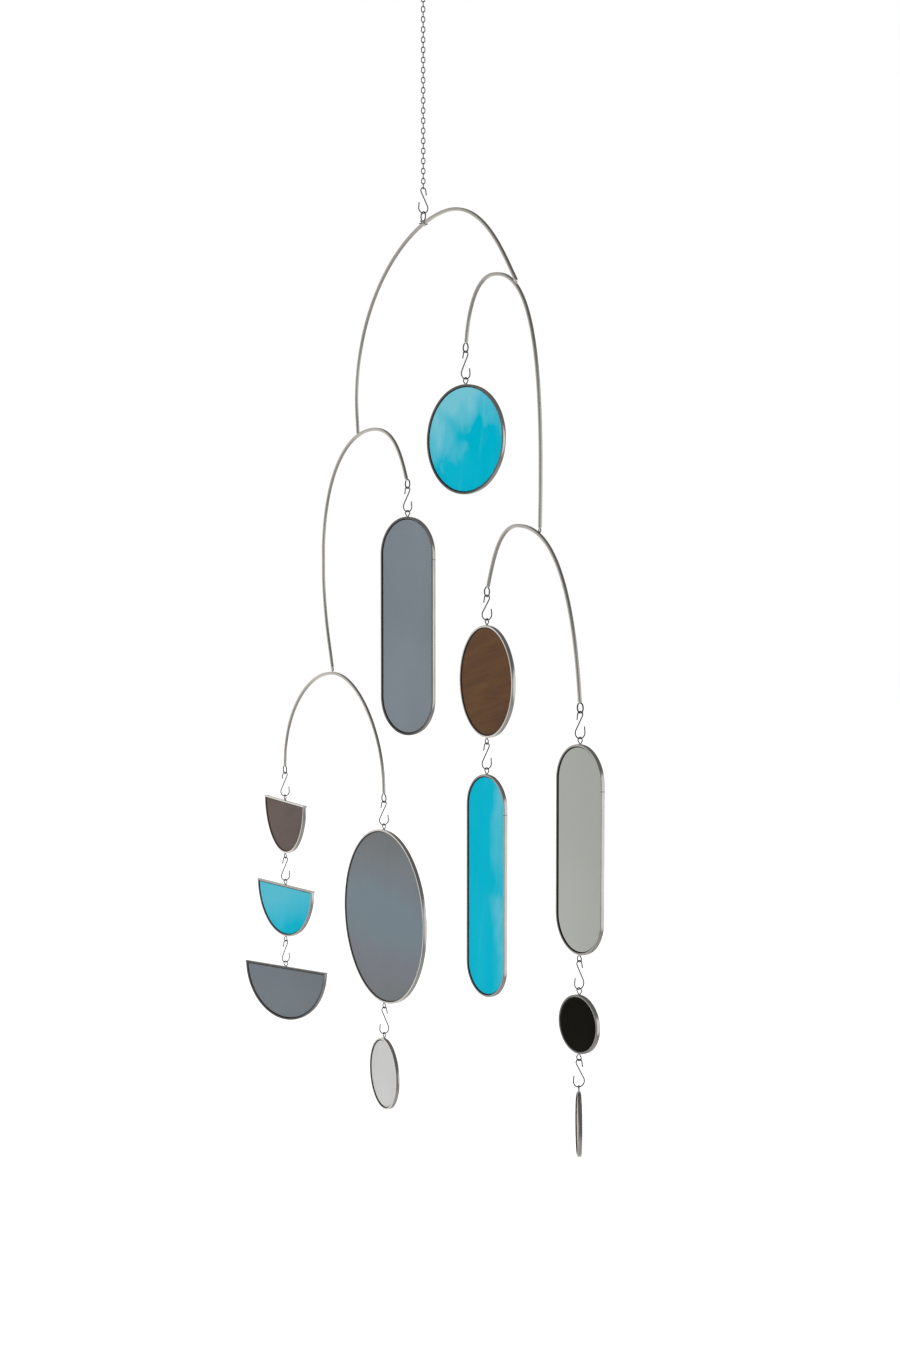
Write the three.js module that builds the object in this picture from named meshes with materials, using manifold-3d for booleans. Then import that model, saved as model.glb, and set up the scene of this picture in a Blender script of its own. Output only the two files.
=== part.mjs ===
// Hanging suncatcher: five arched metal rods, soldered foot to crown, that carry strings of
// framed glass panels on S-hooks, all held by one chain.
// Millimetres, +Z up. The arches lie in the XZ plane. The origin is the point inside the top of
// the hanging ring, where the ring rests on what holds the suncatcher up.

import * as THREE from "three";
import { mergeVertices } from "three/addons/utils/BufferGeometryUtils.js";
import Module from "manifold-3d";

const wasm = await Module();
wasm.setup();

// Clearance between pieces that touch, and how far a soldered eye sinks into its frame
const clearance = 0.3;
const solderSink = 0.5;

// Hanging ring and chain
const hangingRingDiameter = 16;
const hangingRingWire = 2;
const linkCount = 38;
const linkWire = 1.1;
const linkLength = 5.4;
const linkWidth = 5;
const linkBite = 0.25;
const firstLinkTurn = 60;

// S-hooks: a small loop above, a large one below, and a free tip beside each
const hookWire = 1.3;
const hookHeight = 30;
const hookTopRadius = 3.2;
const hookTopTip = 5.3;
const hookTopFlare = 0.8;
const hookBottomRadius = 6;
const hookBottomTip = 6.2;
const hookBottomLean = 0.6;

// Rings on the rods, and the small eyes that join two of the arches
const rodRingDiameter = 12;
const rodRingWire = 1.5;
const jointEyeDiameter = 5;
const jointEyeWire = 1.2;

// Rods of the arches: flat bar bent on edge
const rodHeight = 3.7;
const rodDepth = 3;

// Panels: glass in a metal channel, with a wire eye soldered above and, to carry more, below
const glassThickness = 2.8;
const channelLip = 0.5;
const channelWall = 0.8;
const channelFace = 2.2;
const barOverhang = 0.8;
const eyeDiameter = 8.4;
const eyeWire = 1.2;
const grooveWidth = glassThickness + 2 * clearance;
const channelDepth = grooveWidth + 2 * channelLip;

// Arches, each drawn from its crown. A foot is where a limb ends. The reach is how far the limb
// runs on level from the crown, and the rise is how the foot points back up. The seat is the
// place where the arch is held: its distance from the crown along the right limb, or along the
// left one when negative. Under the foot of the arch that carries it, an eye may join the two.
const arches = {
  top_arch: {
    left: { foot: [-217, -236], reach: 103, rise: [-28, 149] },
    right: { foot: [146, -94], reach: 82, rise: [-22, 25] },
    seat: -53,
  },
  right_arch: {
    left: { foot: [-56, -67], reach: 35, rise: [5, 35] },
    right: { foot: [96, -273], reach: 92, rise: [5, 142] },
    seat: 49,
    carriedBy: ["top_arch", "right"],
  },
  left_arch: {
    left: { foot: [-109, -290], reach: 92, rise: [-68, 203] },
    right: { foot: [84, -62], reach: 51, rise: [-15, 33] },
    seat: -38,
    carriedBy: ["top_arch", "left"],
  },
  lower_right_arch: {
    left: { foot: [-60, -65], reach: 36, rise: [11, 30] },
    right: { foot: [121, -180], reach: 83, rise: [-10, 90] },
    seat: 44,
    carriedBy: ["right_arch", "right"],
    jointEye: true,
  },
  lower_left_arch: {
    left: { foot: [-143, -127], reach: 70, rise: [0, 74] },
    right: { foot: [132, -137], reach: 66, rise: [0, 72] },
    seat: -3,
    carriedBy: ["left_arch", "left"],
    jointEye: true,
  },
};

// Strings of panels, each under one foot, from the top down. The turn is a panel's angle to the
// arches. Its hook is the one above it: hooks are bent by hand, so some are longer or shorter,
// and some face the other way.
const strings = [
  {
    under: ["right_arch", "left"],
    panels: [
      {
        name: "turquoise_circle", glass: "turquoise", shape: "round",
        width: 121, turn: 14, hook: 32,
      },
    ],
  },
  {
    under: ["left_arch", "right"],
    panels: [
      {
        name: "smoke_long_panel", glass: "smoke", shape: "long",
        width: 88, height: 255, turn: 15,
      },
    ],
  },
  {
    under: ["lower_right_arch", "left"],
    panels: [
      {
        name: "brown_circle", glass: "brown", shape: "round",
        width: 123, turn: -3, hook: 28.5,
      },
      {
        name: "turquoise_long_panel", glass: "turquoise", shape: "long",
        width: 71, height: 246, turn: 5,
      },
    ],
  },
  {
    under: ["lower_right_arch", "right"],
    panels: [
      {
        name: "mirror_long_panel", glass: "mirror", shape: "long",
        width: 78, height: 216, turn: 3, hook: 29,
      },
      {
        name: "black_circle", glass: "black", shape: "round",
        width: 61, turn: 7, hook: 31, flip: true,
      },
      {
        name: "mauve_circle", glass: "mauve", shape: "round",
        width: 66, turn: -30.8, flip: true,
      },
    ],
  },
  {
    under: ["lower_left_arch", "right"],
    panels: [
      {
        name: "large_smoke_circle", glass: "smoke", shape: "round",
        width: 209, turn: -1,
      },
      {
        name: "white_circle", glass: "white", shape: "round",
        width: 86, turn: -6, hook: 33.5, flip: true,
      },
    ],
  },
  {
    under: ["lower_left_arch", "left"],
    panels: [
      {
        name: "brown_half_disc", glass: "brown", shape: "half",
        width: 139, turn: -4, hook: 32.5,
      },
      {
        name: "turquoise_half_disc", glass: "turquoise", shape: "half",
        width: 136, turn: 6, hook: 32,
      },
      {
        name: "smoke_half_disc", glass: "smoke", shape: "half",
        width: 141, turn: 22, hook: 30.5,
      },
    ],
  },
];

// Colours and how they shine
const finishes = {
  metal: { color: 0x93918f, roughness: 0.35, metalness: 1 },
  turquoise: { color: 0x0ba3c4, roughness: 0.12, metalness: 0 },
  brown: { color: 0x5b4432, roughness: 0.15, metalness: 0 },
  smoke: { color: 0x79838a, roughness: 0.1, metalness: 0 },
  mirror: { color: 0xb5bab4, roughness: 0.05, metalness: 0.9 },
  black: { color: 0x161612, roughness: 0.05, metalness: 0 },
  mauve: { color: 0x96827f, roughness: 0.2, metalness: 0 },
  white: { color: 0xcdcdcc, roughness: 0.15, metalness: 0 },
};

// Rounding: sides of a wire, steps of each bend, and how far a panel's corners may stand out
const wireSides = 4;
const linkSteps = 6;
const ringSteps = 8;
const eyeSteps = 6;
const topLoopSteps = 5;
const bottomLoopSteps = 6;
const limbSteps = 10;
const cornerError = 1.5;
const quarterTurn = Math.PI / 2;
const sameLevel = 1e-3;

// A path of straight and round stretches in the XZ plane, each with steps of its own
class BentWire extends THREE.Curve {
  constructor(stretches) {
    super();
    this.stretches = stretches;
    this.steps = stretches.reduce((sum, { steps }) => sum + steps, 0);
  }

  getPoint(t) {
    let step = Math.min(Math.max(t, 0), 1) * this.steps;
    for (const { curve, steps } of this.stretches) {
      if (step <= steps) {
        return curve.getPoint(step / steps);
      }
      step -= steps;
    }
    return this.stretches.at(-1).curve.getPoint(1);
  }

  getUtoTmapping(u) {
    return u;
  }
}

// An arc in the XZ plane, with its angles from +X towards +Z
class RoundBend extends THREE.Curve {
  constructor(centreZ, radius, from, to) {
    super();
    Object.assign(this, { centreZ, radius, from, to });
  }

  getPoint(t) {
    const angle = this.from + (this.to - this.from) * t;
    return at([this.radius * Math.cos(angle), this.centreZ + this.radius * Math.sin(angle)]);
  }
}

function at([x, z]) {
  return new THREE.Vector3(x, 0, z);
}

function sweep(section, path) {
  return new THREE.ExtrudeGeometry(section, { steps: path.steps, extrudePath: path });
}

function wireSection(diameter) {
  const corners = [];
  for (let i = 0; i < wireSides; i += 1) {
    const angle = (i / wireSides) * 2 * Math.PI;
    corners.push(new THREE.Vector2(Math.cos(angle), Math.sin(angle)).multiplyScalar(diameter / 2));
  }
  return new THREE.Shape(corners);
}

function barSection(width, height) {
  const corners = [[-1, -1], [1, -1], [1, 1], [-1, 1]];
  return new THREE.Shape(corners.map(([x, y]) => new THREE.Vector2((x * width) / 2, (y * height) / 2)));
}

// Closed meshes joined or cut as solids
function toSolid(geometry) {
  const bare = geometry.clone();
  bare.deleteAttribute("normal");
  bare.deleteAttribute("uv");
  const merged = mergeVertices(bare, 1e-4);
  return new wasm.Manifold(new wasm.Mesh({
    numProp: 3,
    vertProperties: new Float32Array(merged.attributes.position.array),
    triVerts: new Uint32Array(merged.index.array),
  }));
}

function toGeometry(solid) {
  const mesh = solid.getMesh();
  const geometry = new THREE.BufferGeometry();
  geometry.setAttribute("position", new THREE.BufferAttribute(mesh.vertProperties, 3));
  geometry.setIndex(new THREE.BufferAttribute(mesh.triVerts, 1));
  geometry.computeVertexNormals();
  return geometry;
}

function fuse(geometries) {
  return toGeometry(geometries.map(toSolid).reduce((whole, next) => whole.add(next)));
}

// Everything of a panel's round form that lies below a level
function keepBelow(geometry, level, size) {
  const space = new THREE.BoxGeometry(size, size, size);
  space.translate(0, 0, level - size / 2);
  return toGeometry(toSolid(geometry).intersect(toSolid(space)));
}

// Pull the upper and lower halves of a round form apart, which leaves straight sides. What stands
// on the level of its middle stays there.
function stretch(geometry, extra) {
  const position = geometry.attributes.position;
  for (let i = 0; i < position.count; i += 1) {
    const z = position.getZ(i);
    const half = Math.abs(z) < sameLevel ? 0 : Math.sign(z) * (extra / 2);
    position.setZ(i, z + half);
  }
  return geometry;
}

// A wire ring that stands in the XZ plane, with a corner at the top and at the bottom
function ringGeometry(diameter, wire, steps = ringSteps) {
  const ring = new THREE.TorusGeometry((diameter - wire) / 2, wire / 2, wireSides, steps);
  ring.rotateZ(quarterTurn);
  ring.rotateX(quarterTurn);
  return ring;
}

// One oval link. Its corners stand half a step off the horizontal, so that it can be stretched.
function linkGeometry() {
  const halfStep = Math.PI / linkSteps;
  const radius = (linkWidth - linkWire) / 2 / Math.cos(halfStep);
  const link = new THREE.TorusGeometry(radius, linkWire / 2, wireSides, linkSteps);
  link.rotateZ(halfStep);
  link.rotateX(quarterTurn);
  return stretch(link, linkLength + linkWire - 2 * radius);
}

// The chain, from the inside top of its first link. Each link is a quarter turn on from the last
// and bites into it a little where the two touch.
const linkPitch = linkLength + linkBite;
const chainDrop = (linkCount - 1) * linkPitch + linkLength;

function chainGeometry() {
  const links = [];
  for (let i = 0; i < linkCount; i += 1) {
    const link = linkGeometry();
    link.rotateZ(i * quarterTurn);
    link.translate(0, 0, -linkLength / 2 - i * linkPitch);
    links.push(link);
  }
  return fuse(links);
}

// An S-hook, from the inside top of its small loop. Its straight shank leaves the small loop on
// one side and meets the large loop on the other.
function hookGeometry(height) {
  const topCentre = hookWire / 2 - hookTopRadius;
  const bottomCentre = 1.5 * hookWire - height + hookBottomRadius;
  const shankLean = Math.asin((hookTopRadius + hookBottomRadius) / (topCentre - bottomCentre));
  const topLoop = new RoundBend(topCentre, hookTopRadius, 0, Math.PI + shankLean);
  const bottomLoop = new RoundBend(bottomCentre, hookBottomRadius, shankLean, -Math.PI);
  const topTip = at([hookTopRadius + hookTopFlare, topCentre - hookTopTip]);
  const bottomTip = at([hookBottomLean - hookBottomRadius, bottomCentre + hookBottomTip]);
  return sweep(wireSection(hookWire), new BentWire([
    { curve: new THREE.LineCurve3(topTip, topLoop.getPoint(0)), steps: 1 },
    { curve: topLoop, steps: topLoopSteps },
    { curve: new THREE.LineCurve3(topLoop.getPoint(1), bottomLoop.getPoint(0)), steps: 1 },
    { curve: bottomLoop, steps: bottomLoopSteps },
    { curve: new THREE.LineCurve3(bottomLoop.getPoint(1), bottomTip), steps: 1 },
  ]));
}

// A limb of an arch, from its foot up to the crown or from the crown down to its foot
function limb(arch, side) {
  const { foot, reach, rise } = arches[arch][side];
  const level = side === "left" ? -reach : reach;
  const nearFoot = [foot[0] + rise[0], foot[1] + rise[1]];
  return new THREE.CubicBezierCurve3(at([0, 0]), at([level, 0]), at(nearFoot), at(foot));
}

function archGeometry(arch) {
  const left = limb(arch, "left");
  const rising = new THREE.CubicBezierCurve3(left.v3, left.v2, left.v1, left.v0);
  return sweep(barSection(rodDepth, rodHeight), new BentWire([
    { curve: rising, steps: limbSteps },
    { curve: limb(arch, "right"), steps: limbSteps },
  ]));
}

// Where an arch is held, on the middle of its rod, and which way is out from there
function seatOf(arch) {
  const { seat } = arches[arch];
  const curve = limb(arch, seat < 0 ? "left" : "right");
  const share = Math.abs(seat) / curve.getLength();
  const along = curve.getTangentAt(share);
  const out = new THREE.Vector3(-along.z, 0, along.x).multiplyScalar(seat < 0 ? -1 : 1);
  return { point: curve.getPointAt(share), out };
}

function footOf(arch, side) {
  const curve = limb(arch, side);
  return { point: curve.getPoint(1), down: curve.getTangent(1) };
}

// The channel's section: distance from the panel's middle, then depth
function channelSection(edge, scale = 1) {
  const [lip, floor] = [edge - channelFace, edge - channelWall];
  const [face, groove] = [channelDepth / 2, grooveWidth / 2];
  const corners = [
    [edge, -face], [edge, face], [lip, face], [lip, groove],
    [floor, groove], [floor, -groove], [lip, -groove], [lip, -face],
  ];
  return corners.map(([x, y]) => new THREE.Vector2(x * scale, y));
}

// Round forms are drawn with their flats, not their corners, at the named radius, and with a
// flat at the top, at the bottom and on each side
function facets(width) {
  const halfAngle = Math.acos(1 - cornerError / (width / 2));
  const steps = 4 * Math.ceil(Math.PI / halfAngle / 4);
  return { steps, start: Math.PI / steps, corner: 1 / Math.cos(Math.PI / steps) };
}

function channelGeometry({ shape, width, height = width }) {
  const { steps, start, corner } = facets(width);
  const section = channelSection(width / 2, corner);
  const ring = new THREE.LatheGeometry([...section, section[0]], steps, start);
  if (shape !== "half") {
    return stretch(ring, height - width);
  }
  const length = width + 2 * barOverhang;
  const bar = new THREE.ExtrudeGeometry(
    new THREE.Shape(channelSection(0)),
    { depth: length, bevelEnabled: false },
  );
  bar.translate(0, 0, -length / 2);
  bar.rotateY(-quarterTurn);
  return fuse([keepBelow(ring, -channelWall / 2, 2 * width), bar]);
}

function glassGeometry({ shape, width, height = width }) {
  const { steps, start, corner } = facets(width);
  const inset = channelWall + clearance;
  const radius = (width / 2 - inset) * corner;
  const disc = new THREE.CylinderGeometry(radius, radius, glassThickness, steps, 1, false, start);
  return shape === "half" ? keepBelow(disc, -inset, 2 * width) : stretch(disc, height - width);
}

// How far a panel's edge stands above and below the middle of its round form
function extent({ shape, width, height = width }) {
  return shape === "half" ? [0, -width / 2] : [height / 2, -height / 2];
}

// The scene: pieces hang in groups, each placed at the point that carries it
function piece(parent, name, geometry, finish, place = at([0, 0])) {
  const mesh = new THREE.Mesh(geometry, new THREE.MeshStandardMaterial(finishes[finish]));
  mesh.name = name;
  mesh.position.copy(place);
  parent.add(mesh);
  return mesh;
}

function hang(parent, place, turn = 0) {
  const group = new THREE.Group();
  group.position.copy(place);
  group.rotation.z = THREE.MathUtils.degToRad(turn);
  parent.add(group);
  return group;
}

function below(place, drop) {
  return place.clone().add(at([0, -drop]));
}

// Adds a hook and returns the place where the next piece rests inside its large loop
function addHook(parent, name, place, height, turn) {
  const group = hang(parent, place, turn);
  piece(group, name, hookGeometry(height), "metal");
  return below(place, height - 2 * hookWire - clearance);
}

// Adds a panel whose top eye hangs at a place, and returns the place inside its lower eye
function addPanel(parent, panel, place, carriesMore) {
  const group = hang(parent, place, panel.turn);
  const eyeMiddle = eyeDiameter / 2 - solderSink;
  const [top, bottom] = extent(panel);
  const frame = [channelGeometry(panel)];
  for (const middle of carriesMore ? [top + eyeMiddle, bottom - eyeMiddle] : [top + eyeMiddle]) {
    const eye = ringGeometry(eyeDiameter, eyeWire, eyeSteps);
    eye.translate(0, 0, middle);
    frame.push(eye);
  }
  const insideEye = eyeDiameter / 2 - eyeWire;
  const centre = at([0, -insideEye - eyeMiddle - top]);
  piece(group, `${panel.name}_frame`, fuse(frame), "metal", centre);
  piece(group, `${panel.name}_glass`, glassGeometry(panel), panel.glass, centre);
  return below(place, 2 * insideEye + 2 * eyeMiddle + top - bottom - clearance);
}

function addString(parent, { panels }, start) {
  let place = start;
  let aboveTurn = 0;
  panels.forEach((panel, i) => {
    const { name, hook = hookHeight, flip = false, turn } = panel;
    const across = 90 + (aboveTurn + turn) / 2 + (flip ? 0 : 180);
    place = addHook(parent, `${name}_hook`, place, hook, across);
    place = addPanel(parent, panel, place, i < panels.length - 1);
    aboveTurn = turn;
  });
}

// Adds the ring at the end of a foot and returns the place where a hook rests inside it
function addFootRing(parent, arch, side) {
  const { point, down } = footOf(arch, side);
  const centre = point.addScaledVector(down, rodRingDiameter / 2 + clearance);
  piece(parent, `${arch}_${side}_ring`, ringGeometry(rodRingDiameter, rodRingWire), "metal", centre);
  return below(centre, rodRingDiameter / 2 - rodRingWire - clearance);
}

// Adds an arch with its seat at a place, and everything that it carries
function addArch(parent, arch, seatPlace) {
  const group = hang(parent, seatPlace.clone().sub(seatOf(arch).point));
  piece(group, arch, archGeometry(arch), "metal");
  for (const string of strings.filter(({ under }) => under[0] === arch)) {
    addString(group, string, addFootRing(group, arch, string.under[1]));
  }
  for (const [lower, { carriedBy, jointEye }] of Object.entries(arches)) {
    if (carriedBy?.[0] !== arch) {
      continue;
    }
    const { point, down } = footOf(arch, carriedBy[1]);
    const { out } = seatOf(lower);
    if (jointEye) {
      point.addScaledVector(down, jointEyeDiameter / 2 + clearance);
      const eye = ringGeometry(jointEyeDiameter, jointEyeWire);
      piece(group, `${lower}_joint_eye`, eye, "metal", point.clone());
      point.addScaledVector(out, -(jointEyeDiameter + rodHeight) / 2 - clearance);
    } else {
      const across = Math.abs(down.x * out.z - down.z * out.x);
      point.addScaledVector(out, (-rodHeight / 2) * (1 + across) - clearance);
    }
    addArch(group, lower, point);
  }
}

const suncatcher = new THREE.Group();
const ringInside = hangingRingDiameter - 2 * hangingRingWire;
const ringTurn = hang(suncatcher, at([0, -ringInside / 2]), firstLinkTurn + 90);
piece(ringTurn, "hanging_ring", ringGeometry(hangingRingDiameter, hangingRingWire), "metal");

const chainPlace = at([0, clearance - ringInside]);
piece(hang(suncatcher, chainPlace, firstLinkTurn), "chain", chainGeometry(), "metal");

const chainHookPlace = below(chainPlace, chainDrop - clearance);
const crownRingPlace = addHook(suncatcher, "chain_hook", chainHookPlace, hookHeight, 90);
const crownRing = below(crownRingPlace, rodRingDiameter / 2 - rodRingWire);
piece(suncatcher, "top_arch_ring", ringGeometry(rodRingDiameter, rodRingWire), "metal", crownRing);

const ringToRod = (rodRingDiameter + rodHeight) / 2 + clearance;
const topSeat = crownRing.clone().addScaledVector(seatOf("top_arch").out, -ringToRod);
addArch(suncatcher, "top_arch", topSeat);

export default suncatcher;
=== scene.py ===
import math

import bmesh
import bpy
import numpy as np
from mathutils import Matrix, Vector


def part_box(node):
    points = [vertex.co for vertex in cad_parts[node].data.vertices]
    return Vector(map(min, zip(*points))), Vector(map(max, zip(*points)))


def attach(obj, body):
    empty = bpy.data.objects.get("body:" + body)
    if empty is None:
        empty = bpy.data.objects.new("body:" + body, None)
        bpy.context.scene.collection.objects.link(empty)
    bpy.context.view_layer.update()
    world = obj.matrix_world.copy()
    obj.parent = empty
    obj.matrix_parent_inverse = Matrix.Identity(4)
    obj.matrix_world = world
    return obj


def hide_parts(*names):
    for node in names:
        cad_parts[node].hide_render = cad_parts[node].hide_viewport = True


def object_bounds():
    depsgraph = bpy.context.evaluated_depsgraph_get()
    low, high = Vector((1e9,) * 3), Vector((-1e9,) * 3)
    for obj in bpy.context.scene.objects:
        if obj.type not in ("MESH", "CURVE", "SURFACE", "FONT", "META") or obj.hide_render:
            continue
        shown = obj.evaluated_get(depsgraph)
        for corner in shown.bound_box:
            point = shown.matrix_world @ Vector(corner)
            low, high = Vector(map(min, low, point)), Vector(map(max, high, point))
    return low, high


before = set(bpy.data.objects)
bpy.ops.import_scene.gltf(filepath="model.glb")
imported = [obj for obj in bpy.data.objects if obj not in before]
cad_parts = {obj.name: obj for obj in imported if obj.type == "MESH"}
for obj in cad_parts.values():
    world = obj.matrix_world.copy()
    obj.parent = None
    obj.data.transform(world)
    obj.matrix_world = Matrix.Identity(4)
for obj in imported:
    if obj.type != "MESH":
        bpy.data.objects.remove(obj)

cad_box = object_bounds()

MM = 0.001

# The photograph's height and the camera that its view was worked out to have
PHOTO_HEIGHT = 1350
FOCAL_PIXELS = 2050
SENSOR_HEIGHT = 36
CLIP_END = 100
VIEW_TURN = math.radians(60)
VIEW_PITCH = math.radians(3.21)
CAMERA_DISTANCE = 2.3575
CAMERA_OFFSET = 0.0304
CAMERA_HEIGHT = -0.6477

# The floor: how far it lies below the suncatcher and its size, both in metres, its glow and its greys
FLOOR_DROP = 0.16
FLOOR_SIZE = 14
FLOOR_GLOW = 0.95
FLOOR_GREYS = (0.86, 0.88)

# The room: its dim level, and soft patches of light. Each has its direction in degrees round from +X
# and up from level, the angles within which it is full and beyond which it is gone, its strength and
# its colour.
ROOM_LEVEL = 0.14
LEFT_WALL = (180, -12, 10, 55, 0.85, (1, 0.98, 0.95, 1))
BACK_WINDOW = (42, -4, 19, 30, 0.74, (0.95, 0.98, 1, 1))
GROUND = (0, -90, 30, 75, 0.26, (1, 0.99, 0.97, 1))
FRONT_CARD = (290, -3, 10, 38, 0.42, (1, 0.99, 0.97, 1))

# The soft lights: direction in degrees as above, distance and size in metres, and power in watts
FRONT_LIGHT = (-78, 15, 5, 3.5, 100)
BACK_LIGHT = (100, 20, 5, 3.5, 60)

# Sizes that the solids have too, in metres
CLEARANCE = 0.3 * MM
HANGING_RING_WIRE = 2 * MM
LINK_WIRE = 1.1 * MM
LINK_INSIDE = 5.4 * MM
LINK_WIDTH = 5 * MM
LINK_PITCH = 5.65 * MM
LINK_TURN = math.radians(60)
HOOK_WIRE = 1.3 * MM
HOOK_TOP_RADIUS = 3.2 * MM
HOOK_TOP_TIP = 5.3 * MM
HOOK_TOP_FLARE = 0.8 * MM
HOOK_BOTTOM_RADIUS = 6 * MM
HOOK_BOTTOM_TIP = 6.2 * MM
HOOK_BOTTOM_LEAN = 0.6 * MM
ROD_RING_WIRE = 1.5 * MM
JOINT_EYE_WIRE = 1.2 * MM
ROD_HEIGHT = 3.7 * MM
ROD_DEPTH = 3 * MM
CHANNEL_FACE = 2.2 * MM
CHANNEL_WALL = 0.8 * MM
CHANNEL_DEPTH = 4.4 * MM
GROOVE_WIDTH = 3.4 * MM
BAR_OVERHANG = 0.8 * MM
EYE_DIAMETER = 8.4 * MM
EYE_WIRE = 1.2 * MM
SOLDER_SINK = 0.5 * MM

# Finer sizes that only the looks have
GLASS_THICKNESS = 1.8 * MM
GLASS_EDGE_ROUND = 0.3 * MM
ROD_EDGE_ROUND = 0.7 * MM
CHANNEL_EDGE_ROUND = 0.35 * MM
CHANNEL_SHRINK = 0.03 * MM
SEAM_DROP = 6 * MM
SEAM_REACH = 0.3 * MM
EYE_NARROWING = 0.6
LANDING_REACH = 7 * MM

# The dark fillet in the corner between lip and glass, coloured as painted shade: its depth in lip and glass,
# its drop below the lip's face at the lip and away from it, and how far it reaches there and on the glass
SHADE_FILLET_SINK = 0.1 * MM
SHADE_FILLET_DROPS = (0.15 * MM, 0.25 * MM)
SHADE_FILLET_REACHES = (0.3 * MM, 1.3 * MM)

# Half sizes of the lumps of solder: along, in depth and up
FOOT_LUMP = (2.3 * MM, 1.5 * MM, 1.8 * MM)
LANDING_LUMP = (5 * MM, 1.45 * MM, 1.7 * MM)
EYE_LUMP = (2.3 * MM, 1.5 * MM, 0.9 * MM)
EYE_LUMP_LIFT = 0.1 * MM
CORNER_LUMP = (1 * MM, 2 * MM, 1.2 * MM)
CORNER_LUMP_INSET = 1.2 * MM
CORNER_LUMP_DROP = 1.1 * MM
RING_LUMP = (2.2 * MM, 1.9 * MM, 1.3 * MM)
COLLAR_LUMP = (2.8 * MM, 1.9 * MM, 2.1 * MM)

# The collar under the top arch's ring. Its three turns lean and spread by these degrees. Each cut
# end has its start from the collar's middle in millimetres, its direction and its length.
COLLAR_DIAMETER = 6.6 * MM
COLLAR_WIRE = 1.1 * MM
COLLAR_STEP = 1.5 * MM
COLLAR_LEAN = 5
COLLAR_SPREAD = 9
CUT_ENDS = [
    ((-1.0, -2.2, -0.4), (-0.5, -0.85, 0.05), 3.4),
    ((-0.8, -2.0, 1.2), (-0.5, -0.75, 0.5), 3.2),
    ((1.0, 1.6, -0.8), (0.5, 0.85, -0.2), 2.4),
]

# How finely and how softly the forms are drawn. Each step of a wire's tip has its reach in radii and
# its share of the thickness. The angles, in degrees, are those from which an edge looks sharp.
WIRE_SIDES = 14
WIRE_TIP = [(0.0, 1.0), (0.3, 0.9), (0.48, 0.62)]
LINK_SIDES = 8
LINK_STEPS = 24
LINK_EASE = 6
RING_STEPS = 48
LUMP_STEPS = 16
ROD_STEPS_BETWEEN = 8
HOOK_STEP = 0.35 * MM
HOOK_TIP_STEPS = 6
HOOK_SHANK_STEPS = 8
HOOK_SOFTENING = 3
CURVE_STEP = 1.6 * MM
CURVE_STEPS_AT_LEAST = 24
BAR_STEPS = 24
CORNER_STEPS = 3
CORNER_SHARE = 0.45
SHARP_ANGLE = 38
GLASS_SHARP_ANGLE = 30

STRINGS = {
    "right_arch_left_ring": ["turquoise_circle"],
    "left_arch_right_ring": ["smoke_long_panel"],
    "lower_right_arch_left_ring": ["brown_circle", "turquoise_long_panel"],
    "lower_right_arch_right_ring": ["mirror_long_panel", "black_circle", "mauve_circle"],
    "lower_left_arch_right_ring": ["large_smoke_circle", "white_circle"],
    "lower_left_arch_left_ring": ["brown_half_disc", "turquoise_half_disc", "smoke_half_disc"],
}
PANEL_GLASS = {
    "turquoise_circle": "turquoise_glass",
    "turquoise_long_panel": "turquoise_glass",
    "turquoise_half_disc": "turquoise_glass",
    "smoke_long_panel": "smoke_glass",
    "large_smoke_circle": "smoke_glass",
    "smoke_half_disc": "smoke_glass",
    "brown_circle": "brown_glass",
    "brown_half_disc": "brown_glass",
    "mirror_long_panel": "mirror_glass",
    "black_circle": "black_glass",
    "mauve_circle": "mauve_glass",
    "white_circle": "white_glass",
}
# Panels whose glass is coloured differently from the others of their glass; on the turquoise circle and half
# disc the difference is a painted reflection
OTHER_SHEET = {
    "turquoise_circle": "turquoise_circle_reflection",
    "turquoise_half_disc": "turquoise_pale",
    "brown_half_disc": "brown_grey",
    "large_smoke_circle": "smoke_bands",
    "smoke_half_disc": "smoke_dim",
}
ARCHES = ["top_arch", "right_arch", "left_arch", "lower_right_arch", "lower_left_arch"]

# Directions of the pale areas in the turquoise sheets: above on the circle and the half disc, where the pale
# area is a painted reflection of the bright room, and beside on the long panel; and the climb of the brown
# streaks
REFLECTION_ABOVE = (-0.5, 0, 0.865)
REFLECTION_ALL_ABOVE = (-0.3, 0, 0.95)
PALE_BESIDE = (1, 0, 0)
STREAK_TURN = -0.21


# Camera
def add_camera():
    data = bpy.data.cameras.new("camera")
    data.sensor_fit = "VERTICAL"
    data.sensor_height = SENSOR_HEIGHT
    data.lens = FOCAL_PIXELS / PHOTO_HEIGHT * SENSOR_HEIGHT
    data.clip_end = CLIP_END
    camera = bpy.data.objects.new("camera", data)
    bpy.context.collection.objects.link(camera)
    right = Vector((math.cos(VIEW_TURN), math.sin(VIEW_TURN), 0))
    away = Vector((-math.sin(VIEW_TURN), math.cos(VIEW_TURN), 0))
    camera.location = right * CAMERA_OFFSET - away * CAMERA_DISTANCE + Vector((0, 0, CAMERA_HEIGHT))
    camera.rotation_euler = (math.pi / 2 - VIEW_PITCH, 0, VIEW_TURN)
    bpy.context.scene.camera = camera


add_camera()


# Shader helpers
def srgb(red, green, blue):
    """A colour read off a picture, 0 to 255, as Blender's linear values."""
    def linear(value):
        value = value / 255
        return value / 12.92 if value <= 0.04045 else ((value + 0.055) / 1.055) ** 2.4
    return (linear(red), linear(green), linear(blue), 1)


def new_material(name):
    material = bpy.data.materials.new(name)
    material.use_nodes = True
    nodes = material.node_tree.nodes
    nodes.clear()
    output = nodes.new("ShaderNodeOutputMaterial")
    shader = nodes.new("ShaderNodeBsdfPrincipled")
    material.node_tree.links.new(shader.outputs[0], output.inputs[0])
    return material, shader


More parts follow.
